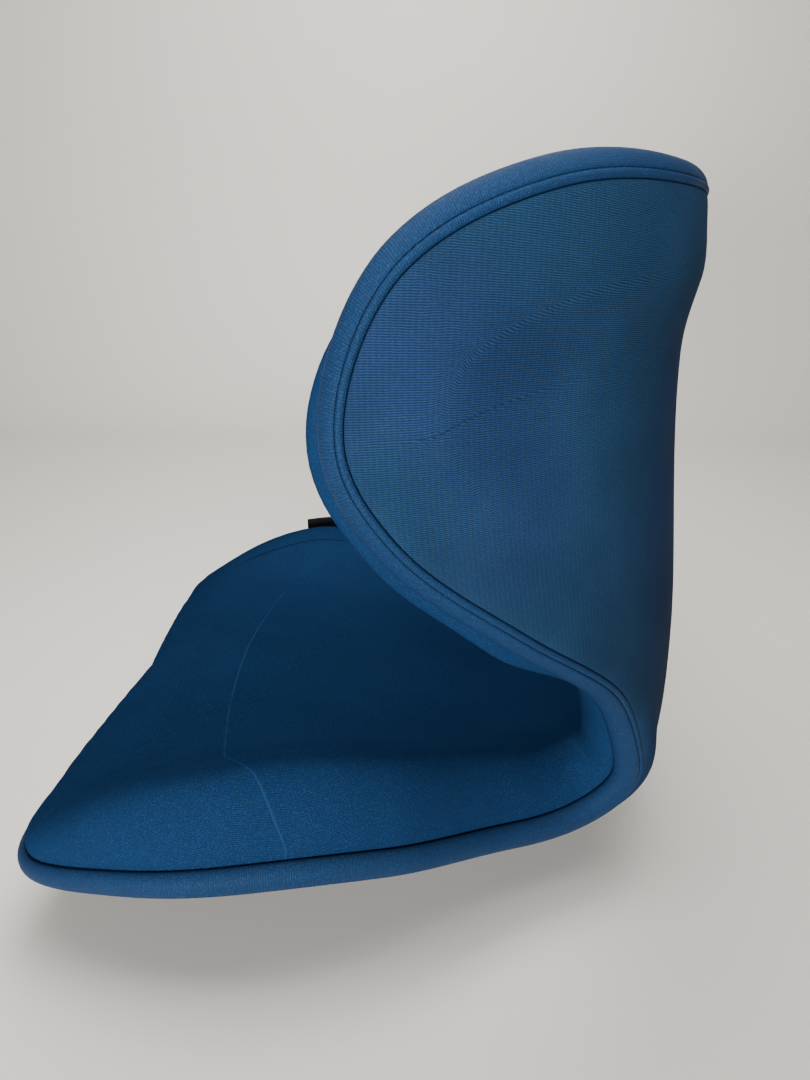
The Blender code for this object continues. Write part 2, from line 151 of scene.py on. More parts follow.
def centre_table():
    """Centre line as columns s, y, z and slope, one row a millimetre, run on straight past its ends."""
    s = np.arange(-100.0, PANEL_LENGTH + 101)
    slope = np.radians(smooth(CENTRE_SLOPE, np.clip(s, 0, PANEL_LENGTH)))
    middle = (slope[1:] + slope[:-1]) / 2
    y = np.concatenate([[0], np.cumsum(np.cos(middle))])
    z = np.concatenate([[0], np.cumsum(np.sin(middle))])
    y += FRONT_EDGE_Y - np.interp(0, s, y)
    z += FRONT_EDGE_Z - np.interp(0, s, z)
    return np.column_stack([s, y, z, slope])


CENTRE = centre_table()


def panel(s, w):
    """Points of the panel, in millimetres."""
    s, w = np.broadcast_arrays(np.asarray(s, float), np.asarray(w, float))
    y, z, slope = (np.interp(s, CENTRE[:, 0], CENTRE[:, k]) for k in (1, 2, 3))
    turn = np.radians(smooth(SIDE_TURN, np.clip(s, 0, PANEL_LENGTH)))
    along = (np.arange(48) + 0.5) / 48
    t = np.minimum(np.abs(w)[..., None] * along / SIDE_REACH, 1)
    share = LINEAR_SHARE * t + (1 - LINEAR_SHARE) * (3 * t**2 - 2 * t**3)
    angle = turn[..., None] * share
    across = w * np.cos(angle).mean(-1)
    rise = np.abs(w) * np.sin(angle).mean(-1)
    return np.stack([across, y - np.sin(slope) * rise, z + np.cos(slope) * rise], -1)


def panel_normal(s, w):
    """Unit normals of the panel, towards the sitter."""
    s, w = np.asarray(s, float), np.asarray(w, float)
    normal = np.cross(panel(s, w + 1) - panel(s, w - 1), panel(s + 1, w) - panel(s - 1, w))
    return normal / np.linalg.norm(normal, axis=-1, keepdims=True)


def lifted(places, lift):
    """Points over flat places at a lift, in metres."""
    s, w = places[..., 0], places[..., 1]
    lift = np.broadcast_to(np.asarray(lift, float), s.shape)
    return (panel(s, w) + lift[..., None] * panel_normal(s, w)) * MM


def even_outline():
    """Half the flat outline, front centre to top centre, with evenly spaced points."""
    corners = np.array(OUTLINE, float)
    chords = np.linalg.norm(np.diff(corners, axis=0), axis=1)
    keys = np.concatenate([[0], np.cumsum(np.sqrt(chords))])
    fine = smooth(np.column_stack([keys, corners]), np.linspace(0, keys[-1], 3000))
    length = np.concatenate([[0], np.cumsum(np.linalg.norm(np.diff(fine, axis=0), axis=1))])
    even = np.linspace(0, length[-1], 1200)
    return np.column_stack([np.interp(even, length, fine[:, k]) for k in (0, 1)])


EDGE = even_outline()
EDGE_LENGTH = float(np.linalg.norm(np.diff(EDGE, axis=0), axis=1).sum())


def inward_normals():
    """Unit vectors in the flat plane, from the outline inwards."""
    tangent = np.gradient(EDGE, axis=0)
    tangent[0], tangent[-1] = (0, 1), (0, -1)
    tangent /= np.linalg.norm(tangent, axis=1, keepdims=True)
    return np.column_stack([tangent[:, 1], -tangent[:, 0]])


INWARD = inward_normals()


def edge_index(place):
    """Index of the outline point nearest to a flat place."""
    return int(np.argmin(np.linalg.norm(EDGE - np.array(place), axis=1)))


def edge_stations(front_steps, side_steps):
    """Outline indices where rows and columns of the half panel meet the edge."""
    front, top, end = edge_index(FRONT_CORNER), edge_index(TOP_CORNER), len(EDGE) - 1
    parts = [np.linspace(0, front, front_steps + 1), np.linspace(front, top, side_steps + 1)[1:],
             np.linspace(top, end, front_steps + 1)[1:]]
    return np.concatenate(parts)


STATIONS = edge_stations(FRONT_STEPS, SIDE_STEPS)
RUN = STATIONS / (len(EDGE) - 1) * EDGE_LENGTH


def run_of(place):
    """Distance along the half outline from the front centre to the outline point nearest a place."""
    return edge_index(place) / (len(EDGE) - 1) * EDGE_LENGTH


RUN_WING = run_of((505, 290))


def at_stations(values):
    """Rows of an outline table read at the stations."""
    index = np.arange(len(EDGE))
    return np.column_stack([np.interp(STATIONS, index, values[:, k]) for k in range(values.shape[1])])


def edge_places(inset):
    """Flat places at each station, moved in from the outline by an inset that may vary."""
    inset = np.broadcast_to(np.asarray(inset, float), STATIONS.shape)
    places = at_stations(EDGE) + inset[:, None] * at_stations(INWARD)
    places[0, 1] = places[-1, 1] = 0
    return places


def edge_distance(places):
    """Distance of flat places from the outline."""
    both = np.concatenate([EDGE, EDGE * (1, -1)])[::3]
    return np.array([np.linalg.norm(both - p, axis=1).min() for p in places])


def coons_patch(loop):
    """Grid of flat places inside the half loop, [column][row], column 0 on the centre line."""
    front = loop[: FRONT_STEPS + 1]
    side = loop[FRONT_STEPS : FRONT_STEPS + SIDE_STEPS + 1]
    top = loop[FRONT_STEPS + SIDE_STEPS :][::-1]
    u = np.linspace(0, 1, FRONT_STEPS + 1)[:, None, None]
    v = np.linspace(0, 1, SIDE_STEPS + 1)[None, :, None]
    centre = front[0] + v * (top[0] - front[0])
    across = (1 - v) * front[:, None] + v * top[:, None]
    upward = (1 - u) * centre + u * side[None]
    flat = (1 - u) * ((1 - v) * front[0] + v * top[0]) + u * ((1 - v) * front[-1] + v * top[-1])
    return across + upward - flat


def patch_ids(start, count):
    """Vertex numbers of the inner grid, whose border is the loop that starts at start."""
    ids = np.zeros((FRONT_STEPS + 1, SIDE_STEPS + 1), int)
    border = len(STATIONS)
    fresh = count
    for column in range(FRONT_STEPS + 1):
        for row in range(SIDE_STEPS + 1):
            if row == 0:
                ids[column, row] = start + column
            elif row == SIDE_STEPS:
                ids[column, row] = start + border - 1 - column
            elif column == FRONT_STEPS:
                ids[column, row] = start + FRONT_STEPS + row
            else:
                ids[column, row] = fresh
                fresh += 1
    return ids, fresh


def smoothed_lift(grid_lift, rounds):
    """Lifts of the inner grid with its border held, evened out."""
    lift = grid_lift.copy()
    for _ in range(rounds):
        padded = np.vstack([lift[1:2], lift])
        around = (padded[:-2, 1:-1] + padded[2:, 1:-1] + padded[1:-1, :-2] + padded[1:-1, 2:]) / 4
        lift[:-1, 1:-1] = lift[:-1, 1:-1] * 0.4 + around * 0.6
    return lift


def unrolled(section):
    """Insets of each loop with the section rolled out flat, measured from its innermost loop."""
    rows = np.stack([np.stack(np.broadcast_arrays(a, b, STATIONS)[:2], -1) for a, b in section]).astype(float)
    steps = np.linalg.norm(np.diff(rows, axis=0), axis=2)
    outward = np.concatenate([np.cumsum(steps[::-1], axis=0)[::-1], np.zeros((1, len(STATIONS)))])
    return rows[-1, :, 0] - outward


def closed_pad(section, face_lift, back_lift, back_inset):
    """Half of a closed pad: flat places, lifts, rolled-out places, insets and faces.

    section is a list of (inset, lift) at the stations, from the hidden root over the seam to the
    pad's face. face_lift gives the lift of flat places on the face.
    """
    border, loops = len(STATIONS), len(section)
    places = [edge_places(inset) for inset, _ in section]
    lifts = [np.broadcast_to(lift, (border,)).astype(float) for _, lift in section]
    rolled = unrolled(section)
    weave = [edge_places(inset) for inset in rolled]
    insets = list(rolled)
    grid = coons_patch(places[-1])
    ids, count = patch_ids((loops - 1) * border, loops * border)
    inner = [(c, r) for c in range(FRONT_STEPS) for r in range(1, SIDE_STEPS)]
    flat = grid.reshape(-1, 2)
    distance = edge_distance(flat)
    grid_lift = face_lift(flat, distance).reshape(grid.shape[:2])
    grid_lift[:, 0] = lifts[-1][: FRONT_STEPS + 1]
    grid_lift[:, -1] = lifts[-1][FRONT_STEPS + SIDE_STEPS :][::-1]
    grid_lift[-1] = lifts[-1][FRONT_STEPS : FRONT_STEPS + SIDE_STEPS + 1]
    grid_lift = smoothed_lift(grid_lift, 6)
    face_places = np.array([grid[c, r] for c, r in inner])
    places.append(face_places)
    weave.append(face_places)
    insets.append(np.array([distance.reshape(grid.shape[:2])[c, r] for c, r in inner]))
    lifts.append(np.array([grid_lift[c, r] for c, r in inner]))
    faces = ring_faces(0, loops, border) + grid_faces(ids)
    back_loop = edge_places(back_inset)
    back_ids, _ = patch_ids(count, count + border)
    back_grid = coons_patch(back_loop)
    back = np.concatenate([back_loop, np.array([back_grid[c, r] for c, r in inner])])
    places.append(back)
    weave.append(back)
    insets.append(np.full(len(back), float(back_inset)))
    lifts.append(np.full(len(back), back_lift))
    faces += [(i + 1, i, count + i, count + i + 1) for i in range(border - 1)]
    faces += [f[::-1] for f in grid_faces(back_ids)]
    return [np.concatenate(rows) for rows in (places, lifts, weave, insets)] + [faces]


def ring_faces(start, loops, border):
    """Quads between neighbouring loops."""
    faces = []
    for ring in range(loops - 1):
        for i in range(border - 1):
            a = start + ring * border + i
            faces.append((a, a + 1, a + 1 + border, a + border))
    return faces


def grid_faces(ids):
    """Quads of the inner grid."""
    return [(ids[c, r], ids[c + 1, r], ids[c + 1, r + 1], ids[c, r + 1])
            for c in range(FRONT_STEPS) for r in range(SIDE_STEPS)]


def both_halves(places, lifts, weave, insets, faces):
    """The whole piece from its left half, joined along the centre line."""
    count = len(places)
    side = np.abs(places[:, 1]) > 1e-6
    other = np.arange(count)
    other[side] = count + np.arange(side.sum())
    mirrored = [tuple(other[i] for i in face[::-1]) for face in faces]
    return (np.concatenate([places, places[side] * (1, -1)]), np.concatenate([lifts, lifts[side]]),
            np.concatenate([weave, weave[side] * (1, -1)]), np.concatenate([insets, insets[side]]),
            list(faces) + mirrored)


def new_object(name, points, faces, fields):
    """Smooth-shaded mesh object, with named values kept on its points for the weave."""
    mesh = bpy.data.meshes.new(name)
    mesh.from_pydata([tuple(p) for p in points], [], [tuple(int(i) for i in f) for f in faces])
    mesh.shade_smooth()
    for field, values in fields.items():
        values = np.asarray(values, np.float32)
        kind, slot = ("FLOAT", "value") if values.ndim == 1 else ("FLOAT_VECTOR", "vector")
        mesh.attributes.new(field, kind, "POINT").data.foreach_set(slot, values.ravel())
    made = bpy.data.objects.new(name, mesh)
    bpy.context.scene.collection.objects.link(made)
    return made


def as_vector(weave):
    """Flat places as (across, along, 0) in metres."""
    return np.column_stack([weave[:, 1], weave[:, 0], np.zeros(len(weave))]) * MM


def subdivide(made, levels=1):
    """Catmull-Clark subdivision, kept as a modifier."""
    change = made.modifiers.new("Subdivision", "SUBSURF")
    change.levels = change.render_levels = levels


# ---------------------------------------------------------------- front cushion

def hollow_line(w):
    """Distance along the centre line of the hollow behind the front roll."""
    return HOLLOW_S + 37 * (np.abs(w) / 186) ** 2.2


def crease_line(w, inset):
    """Distance along the centre line of the crease, which bends back over the side rims."""
    over_rim = 27 * np.clip((40 - inset) / 62, 0, 1) ** 1.3
    return CREASE_S + 33 * (np.minimum(np.abs(w), 192) / 192) ** 2.05 + over_rim


def dish_lift(places, inset):
    """Lift of the cushion's face inside its crest."""
    s, w = np.clip(places[:, 0], 0, PANEL_LENGTH), places[:, 1]
    crest, pad = smooth(CREST_HEIGHT, s), smooth(PAD_HEIGHT, s)
    lift = crest + (pad - crest) * ease(inset, CREST_INSET, RIM_WIDTH)
    away = s - hollow_line(w)
    fade = 1 - ease(np.abs(w), 118, 172)
    lift = lift - HOLLOW_DEPTH * fade * (bump(away, 0, 14) - 0.4 * bump(away, 15, 13))
    return lift


def rim_section():
    """Loops of the cushion's rim at each station, from the hidden root to the dish."""
    s = np.clip(at_stations(EDGE)[:, 0], 0, PANEL_LENGTH)
    crest = dish_lift(edge_places(CREST_INSET), CREST_INSET)
    climb = (dish_lift(edge_places(CREST_INSET + 4), CREST_INSET + 4) - crest) / 4
    wing = ease(RUN, run_of((372, 154)), run_of((432, 212))) * (1 - ease(RUN, RUN_WING, run_of((572, 254))))
    bulge = -0.6 - 13.5 * wing
    seam_in, seam_lift = FRONT_SEAM
    seat = 1 - ease(s, 250, 330)
    loops = [(6.5 + 0 * s, SHELL_TOP + 0 * s), (4.6 + 0 * s, 2.2 + 0 * s), (3.0 + 0 * s, 4.0 + 0 * s)]
    start = np.stack([seam_in + 0 * s, seam_lift + 0 * s])
    reach = np.stack([2 * bulge + 0.6 * seam_in, seam_lift + (0.46 + 0.06 * seat) * (crest - seam_lift)])
    handle = CREST_INSET * (0.60 + 0.06 * seat)
    over = np.stack([CREST_INSET - handle, crest - climb * handle])
    crown = np.stack([CREST_INSET + 0 * s, crest])
    for t in (0, 0.08, 0.18, 0.3, 0.42, 0.54, 0.66, 0.77, 0.88, 1):
        left = 1 - t
        point = left**3 * start + 3 * t * left**2 * reach + 3 * t * t * left * over + t**3 * crown
        loops.append((point[0], point[1]))
    for inset in (29.5, 34.5, 40):
        loops.append((inset + 0 * s, dish_lift(edge_places(inset), inset + 0 * s)))
    return loops


def make_front_cushion():
    """Foam and stretch cover over the sitting and leaning side."""
    half = closed_pad(rim_section(), dish_lift, SHELL_TOP, 9.0)
    places, lifts, weave, insets, faces = both_halves(*half)
    crease = weave[:, 0] - crease_line(weave[:, 1], insets)
    crease[places[:, 0] > 200] = 100
    fields = {"flat": as_vector(weave), "inset": insets * MM, "crease": crease * MM,
              "neck": bump(places[:, 0], 290, 34) * (1 - ease(insets, -22, -4))}
    made = new_object("front_cushion", lifted(places, lifts), faces, fields)
    visible = (lifts > FRONT_SEAM[1] + 0.5) & (insets < 60)
    neck = 1 + 1.2 * bump(places[:, 0], 290, 60)
    settle(made, np.clip(visible * 0.4 * neck * (1 - ease(insets, 25, 60)), 0, 0.9))
    subdivide(made)
    return made


def settle(made, freedom):
    """Cloth simulation: the cover swells slightly over its foam, held at the seam and in the dish."""
    count = len(made.data.vertices)
    rest = np.empty(count * 3)
    made.data.vertices.foreach_get("co", rest)
    held = made.vertex_groups.new(name="held")
    for index, free in enumerate(freedom):
        held.add([index], float(1 - free), "REPLACE")
    cloth = made.modifiers.new("Cloth", "CLOTH")
    settings = cloth.settings
    settings.quality = 6
    settings.mass = 0.25
    settings.tension_stiffness = settings.compression_stiffness = 12
    settings.shear_stiffness = 6
    settings.bending_stiffness = 0.35
    settings.vertex_group_mass = "held"
    settings.pin_stiffness = 1.2
    settings.use_pressure = True
    settings.uniform_pressure_force = CLOTH_PRESSURE
    settings.shrink_min = -CLOTH_SLACK
    settings.effector_weights.gravity = 0
    cloth.collision_settings.use_collision = False
    cloth.point_cache.frame_start = 1
    cloth.point_cache.frame_end = CLOTH_FRAMES
    scene = bpy.context.scene
    for number in range(1, CLOTH_FRAMES + 1):
        scene.frame_set(number)
    bpy.context.view_layer.objects.active = made
    bpy.ops.object.modifier_apply(modifier=cloth.name)
    scene.frame_set(1)
    moved = np.empty(count * 3)
    made.data.vertices.foreach_get("co", moved)
    rest, shift = rest.reshape(-1, 3), (moved - rest).reshape(-1, 3)
    size = np.linalg.norm(shift, axis=1, keepdims=True)
    shift *= np.minimum(1, CLOTH_REACH / np.maximum(size, 1e-9))
    made.data.vertices.foreach_set("co", (rest + shift).ravel())
    made.data.update()


# ---------------------------------------------------------------- rear cover

def rear_lift(places, inset):
    """Lift of the rear cover's face, with the rolled edge at the neck and below the top edge."""
    s = np.clip(places[:, 0], 0, PANEL_LENGTH)
    neck = bump(s, 318, 90)
    top = ease(s, 470, 560)
    roll = ROLL_HEIGHT * (neck * bump(inset, 17, 16) + 1.6 * top * bump(inset, 36, 33))
    return REAR_LIFT - roll


def rear_section():
    """Loops of the rear cover's edge, from the hidden root over the welt to the outer face."""
    s = at_stations(EDGE)[:, 0]
    loops = [(11 + 0 * s, SHELL_BOTTOM + 0 * s), (7.2 + 0 * s, -6.0 + 0 * s), (5.7 + 0 * s, -6.8 + 0 * s)]
    for inset, share in REAR_EDGE:
        target = rear_lift(edge_places(inset), inset + 0 * s)
        loops.append((inset + 0 * s, -6.8 + share * (target + 6.8)))
    return loops


def make_rear_cover():
    """Ribbed knit over the outer side and underside."""
    half = closed_pad(rear_section(), rear_lift, SHELL_BOTTOM, 14.0)
    places, lifts, weave, insets, faces = both_halves(*half)
    s, w = weave[:, 0], np.abs(weave[:, 1])
    ribs = s - 0.7 * w * ease(480 - s, 0, 150)
    vector = np.column_stack([weave[:, 1], ribs, s]) * MM
    fields = {"flat": vector, "inset": insets * MM}
    made = new_object("rear_knit", lifted(places, lifts), [f[::-1] for f in faces], fields)
    subdivide(made)
    return made


# ---------------------------------------------------------------- edge band and welt

def swept_edge(name, section):
    """Closed tube round the whole edge. section lists (inset, lift) round the tube."""
    border, sides = len(STATIONS), len(section)
    half = np.stack([edge_places(inset) for inset, _ in section])
    lift = np.stack([np.broadcast_to(lift, (border,)) for _, lift in section])
    places = np.concatenate([half, half[:, 1:-1][:, ::-1] * (1, -1)], axis=1)
    lifts = np.concatenate([lift, lift[:, 1:-1][:, ::-1]], axis=1)
    around = places.shape[1]
    points = lifted(places.reshape(-1, 2), lifts.ravel())
    faces = []
    for k in range(sides):
        for i in range(around):
            j, m = (i + 1) % around, (k + 1) % sides
            faces.append((k * around + i, k * around + j, m * around + j, m * around + i))
    distance = np.concatenate([RUN, (2 * EDGE_LENGTH - RUN[1:-1])[::-1]])
    corners = np.array([(np.mean(a), np.mean(b)) for a, b in section])
    girth = np.concatenate([[0], np.cumsum(np.linalg.norm(np.diff(corners, axis=0), axis=1))])
    columns = [np.tile(distance, sides), np.repeat(girth, around), np.zeros(sides * around)]
    vector = np.column_stack(columns) * MM
    made = new_object(name, points, faces, {"flat": vector, "inset": np.repeat(girth, around) * MM})
    subdivide(made)
    return made


def make_band():
    """Padded fabric band that wraps the edge."""
    outer = [(1.9, 5.1), (0.7, 5.6), (-1.3, 5.0), (-2.9, 3.2), (-3.7, 0.7), (-3.4, -2.0),
             (-2.2, -4.4), (-0.4, -6.2), (1.1, -7.1), (2.1, -7.3), (2.6, -6.4)]
    inner = [(3.4, -4.0), (3.6, 0.0), (2.9, 3.4)]
    return swept_edge("edge_band_fabric", outer + inner)


def make_welt():
    """Thin welt between the band and the rear cover."""
    turns = np.arange(10) / 10 * 2 * math.pi
    section = [(WELT_MIDDLE[0] + WELT_HALF[0] * math.cos(a), WELT_MIDDLE[1] + WELT_HALF[1] * math.sin(a))
               for a in turns[::-1]]
    return swept_edge("edge_welt", section)


# ---------------------------------------------------------------- materials

class Finish:
    """A node material under construction."""

    def __init__(self, name):
        self.material = bpy.data.materials.new(name)
        self.material.use_nodes = True
        self.tree = self.material.node_tree
        self.shader = self.tree.nodes["Principled BSDF"]

    def add(self, kind, inputs, output=0, **settings):
        """New node with its inputs linked or set; gives one of its outputs."""
        node = self.tree.nodes.new(kind)
        for name, value in settings.items():
            setattr(node, name, value)
        for name, value in inputs.items():
            self.put(node.inputs[name], value)
        return node.outputs[output]

    def put(self, socket, value):
        """Link or set one input."""
        if isinstance(value, bpy.types.NodeSocket):
            self.tree.links.new(value, socket)
        else:
            socket.default_value = value

    def math(self, operation, a, b=0.0):
        return self.add("ShaderNodeMath", {0: a, 1: b}, operation=operation)

    def wave(self, coordinate, pitch, shift=0.0):
        """Sine of a coordinate, from 0 to 1 and back in one pitch."""
        turn = self.math("ADD", self.math("MULTIPLY", coordinate, 2 * math.pi / pitch), shift)
        return self.math("ADD", self.math("MULTIPLY", self.math("SINE", turn), 0.5), 0.5)

    def noise(self, scale, detail, vector=None):
        inputs = {"Scale": scale, "Detail": detail}
        if vector is None:
            vector = self.add("ShaderNodeTexCoord", {}, output="Object")
        inputs["Vector"] = vector
        return self.add("ShaderNodeTexNoise", inputs, output="Fac")

    def spread(self, value, low, high, to_low=0.0, to_high=1.0):
        inputs = {"Value": value, "From Min": low, "From Max": high, "To Min": to_low, "To Max": to_high}
        return self.add("ShaderNodeMapRange", inputs, interpolation_type="SMOOTHSTEP")

    def mix(self, share, low, high):
        node = self.tree.nodes.new("ShaderNodeMix")
        node.data_type = "RGBA"
        for socket, value in ((node.inputs[0], share), (node.inputs[6], low), (node.inputs[7], high)):
            self.put(socket, (*value, 1) if isinstance(value, tuple) else value)
        return node.outputs[2]

    def attribute(self, name, output="Fac"):
        return self.add("ShaderNodeAttribute", {}, output=output, attribute_name=name)

    def surface(self, colour, roughness, height, depth, strength, gloss):
        """Fill in the shader: colour, roughness, bump and mirror strength."""
        self.put(self.shader.inputs["Base Color"], colour)
        self.put(self.shader.inputs["Roughness"], roughness)
        self.shader.inputs["Specular IOR Level"].default_value = gloss
        self.shader.inputs["Specular Tint"].default_value = (0.45, 0.72, 1.0, 1)
        inputs = {"Height": height, "Distance": depth, "Strength": strength}
        self.put(self.shader.inputs["Normal"], self.add("ShaderNodeBump", inputs))
        return self.material


def split(finish, vector):
    """The three parts of a vector."""
    node = finish.tree.nodes.new("ShaderNodeSeparateXYZ")
    finish.tree.links.new(vector, node.inputs[0])
    return node.outputs


def jersey(name, dark, light, gloss, crease=False):
    """Stretch jersey: fine wales and courses, painted glints, and where asked a faint crease with a painted
    highlight and neck puckers.
    """
    finish = Finish(name)
    across, along, _ = split(finish, finish.attribute("flat", "Vector"))
    wander = finish.math("MULTIPLY", finish.noise(260, 2), 0.0008)
    wale = finish.wave(finish.math("ADD", across, wander), WALE_PITCH)
    course = finish.wave(finish.math("ADD", along, wander), COURSE_PITCH)
    thread = finish.math("ADD", finish.math("MULTIPLY", wale, 0.6), finish.math("MULTIPLY", course, 0.4))
    cloud = finish.spread(finish.noise(16, 3), 0.3, 0.7, 0.95, 1.05)
    # Painted glints: fine light speckle in place of the satin's glints.
    fleck_and_glint = finish.spread(finish.noise(1500, 1), 0.45, 0.75, 0.0, 0.5)
    share = finish.math("ADD", finish.math("MULTIPLY", thread, 0.55), fleck_and_glint)
    colour = finish.mix(share, dark, light)
    height = thread
    if crease:
        line = finish.math("ABSOLUTE", finish.attribute("crease"))
        ridge = finish.math("SUBTRACT", 1.0, finish.spread(line, 0.0, 0.0009))
        wide = finish.math("SUBTRACT", 1.0, finish.spread(line, 0.0, 0.006))
        # Painted highlight along the crease: the line is lightened towards the light colour, broken up by
        # noise and faded out on the far side, from -80 to -140 mm across.
        broken = finish.spread(finish.noise(45, 2), 0.3, 0.62, 0.25, 1.0)
        highlight_side = finish.spread(finish.math("ADD", across, 0.14), 0.0, 0.06)
        colour = finish.mix(finish.math("MULTIPLY", finish.math("MULTIPLY", ridge, broken), highlight_side), colour,
                            tuple(0.95 * c for c in light))
        pucker = finish.wave(along, 0.0052)
        uneven = finish.spread(finish.noise(70, 1), 0.35, 0.65, 0.3, 2.4)
        pucker = finish.math("MULTIPLY", finish.math("MULTIPLY", pucker, finish.attribute("neck")), uneven)
        height = finish.math("ADD", finish.math("ADD", thread, finish.math("MULTIPLY", ridge, 1.2)), pucker)
        height = finish.math("ADD", height, finish.math("MULTIPLY", wide, 2.0))
    shade = finish.add("ShaderNodeHueSaturation", {"Color": colour, "Value": cloud})
    rough = finish.spread(finish.noise(60, 2), 0.3, 0.7, 0.5, 0.6)
    return finish.surface(shade, rough, height, 0.00022, 0.5, gloss)


def rib_knit(name, dark, light):
    """Matt knit with fine ribs of looped thread."""
    finish = Finish(name)
    across, ribs, _ = split(finish, finish.attribute("flat", "Vector"))
    wander = finish.math("MULTIPLY", finish.noise(60, 2), 0.0002)
    rib = finish.wave(finish.math("ADD", ribs, wander), RIB_PITCH)
    loop = finish.wave(finish.math("ADD", across, wander), 0.0021)
    thread = finish.math("ADD", finish.math("MULTIPLY", rib, 0.78), finish.math("MULTIPLY", loop, 0.22))
    # Fine noise speckle in the thread colour, mostly lighter and a little darker.
    fleck_and_glint = finish.spread(finish.noise(1300, 1), 0.4, 0.8, -0.1, 0.35)
    share = finish.math("ADD", finish.spread(thread, 0.25, 0.85), fleck_and_glint)
    colour = finish.mix(finish.math("MULTIPLY", share, 0.85), dark, light)
    cloud = finish.spread(finish.noise(14, 3), 0.3, 0.7, 0.84, 1.14)
    tint = finish.spread(finish.noise(9, 1), 0.35, 0.65, 0.492, 0.508)
    shade = finish.add("ShaderNodeHueSaturation", {"Color": colour, "Value": cloud, "Hue": tint})
    return finish.surface(shade, 0.8, thread, 0.00025, 0.5, 0.04)


def plain(name, colour, roughness, grain, depth, metallic=0.0, gloss=0.5):
    """Moulded or machined surface with fine grain and slight handling wear."""
    finish = Finish(name)
    fine = finish.noise(grain, 2)
    wear = finish.spread(finish.noise(35, 3), 0.45, 0.7, 0.85, 1.35)
    shade = finish.add("ShaderNodeHueSaturation", {"Color": (*colour, 1), "Value": wear})
    rough = finish.spread(finish.noise(80, 2), 0.3, 0.7, roughness - 0.08, roughness + 0.08)
    made = finish.surface(shade, rough, fine, depth, 0.5, gloss)
    finish.shader.inputs["Metallic"].default_value = metallic
    finish.shader.inputs["Specular Tint"].default_value = (1, 1, 1, 1)
    return made


# ---------------------------------------------------------------- stitches and tag

def frame_at(inset, lift, run):
    """Place, direction along the edge, and outward normal of the panel at a distance round the edge."""
    index = np.clip(run / EDGE_LENGTH * (len(EDGE) - 1), 0, len(EDGE) - 1)
    rows = np.arange(len(EDGE))
    def place(at):
        flat = np.column_stack([np.interp(at, rows, (EDGE + inset * INWARD)[:, k]) for k in (0, 1)])
        return lifted(flat, lift), flat
    here, flat = place(index)
    ahead, _ = place(np.clip(index + 1, 0, len(EDGE) - 1))
    behind, _ = place(np.clip(index - 1, 0, len(EDGE) - 1))
    along = (ahead - behind) / np.linalg.norm(ahead - behind, axis=1, keepdims=True)
    return here, along, panel_normal(flat[:, 0], flat[:, 1])


def make_stitches(name, inset, lift, length, pitch, thick):
    """Row of short thread stitches round the whole edge, lying in the seam."""
    runs = np.arange(pitch / 2, EDGE_LENGTH - pitch / 2, pitch)
    here, along, normal = frame_at(inset, lift, runs)
    half = np.array([(-1, 0, 0), (-0.6, 0.8, 0), (-0.6, -0.4, 0.7), (-0.6, -0.4, -0.7), (0.6, 0.8, 0),
                     (0.6, -0.4, 0.7), (0.6, -0.4, -0.7), (1, 0, 0)])
    cells = [(0, 2, 1), (0, 3, 2), (0, 1, 3), (1, 2, 5, 4), (2, 3, 6, 5), (3, 1, 4, 6), (7, 4, 5), (7, 5, 6),
             (7, 6, 4)]
    points, faces = [], []
    for side in (1, -1):
        for p, a, n in zip(here, along, normal):
            across = np.cross(n, a)
            first = len(points)
            for x, y, z in half:
                point = p + (a * x * length / 2 + across * y * thick + n * z * thick) * MM
                points.append(point * (side, 1, 1))
            faces += [tuple(first + i for i in cell[::side]) for cell in cells]
    return new_object(name, points, faces, {})


def make_tag():
    """Folded woven tag in the CAD tag's place, with a soft fold at the top."""
    steps = 14
    start = int(np.argmin(np.abs(EDGE[:, 0] - 81)))
    end = int(np.argmin(np.abs(EDGE[:, 0] - 125)))
    feet = lifted(EDGE[np.linspace(start, end, steps + 1).astype(int)] * (1, -1), 4.9)
    points, faces = [], []
    profile = [(0.0, 0.0), (0.25, 0.22), (0.35, 0.45), (0.7, 0.7), (1.4, 0.93), (1.95, 0.995), (2.5, 1.0),
               (2.75, 0.985), (2.9, 0.93), (2.2, 0.7), (1.7, 0.45), (1.5, 0.22), (1.3, 0.0)]
    height = 33.5 * MM
    for k, foot in enumerate(feet):
        sway = 0.35 * math.sin(k * 0.9) * MM
        for out, rise in profile:
            points.append(foot + np.array([out * MM + sway * rise, 0, height * rise]))
    count = len(profile)
    for k in range(steps):
        for i in range(count):
            a, b = k * count + i, k * count + (i + 1) % count
            faces.append((a, b, b + count, a + count))
    for k in (0, steps):
        ring = [k * count + i for i in range(count)]
        faces.append(tuple(ring if k else ring[::-1]))
    made = new_object("woven_tag", points, faces, {})
    bm = bmesh.new()
    bm.from_mesh(made.data)
    bmesh.ops.recalc_face_normals(bm, faces=bm.faces)
    bm.to_mesh(made.data)
    bm.free()
    made.data.shade_smooth()
    return made


# ---------------------------------------------------------------- scene

def make_camera():
    """Camera level with the top of the back, looking down at the seat from the sitter's left."""
    pitch, yaw, roll = (math.radians(a) for a in (CAMERA_PITCH, CAMERA_YAW, CAMERA_ROLL))
    forward = Vector((-math.cos(pitch) * math.cos(yaw), math.cos(pitch) * math.sin(yaw), -math.sin(pitch)))
    level = forward.cross(Vector((0, 0, 1))).normalized()
    upright = level.cross(forward)
    right = level * math.cos(roll) + upright * math.sin(roll)
    up = upright * math.cos(roll) - level * math.sin(roll)
    data = bpy.data.cameras.new("camera")
    data.lens = CAMERA_LENS
    data.sensor_width = 36
    data.clip_start = 0.01
    made = bpy.data.objects.new("camera", data)
    turn = Matrix((right, up, -forward)).transposed().to_4x4()
    made.matrix_world = Matrix.Translation(Vector(CAMERA_PLACE) * MM) @ turn
    bpy.context.scene.collection.objects.link(made)
    bpy.context.scene.camera = made


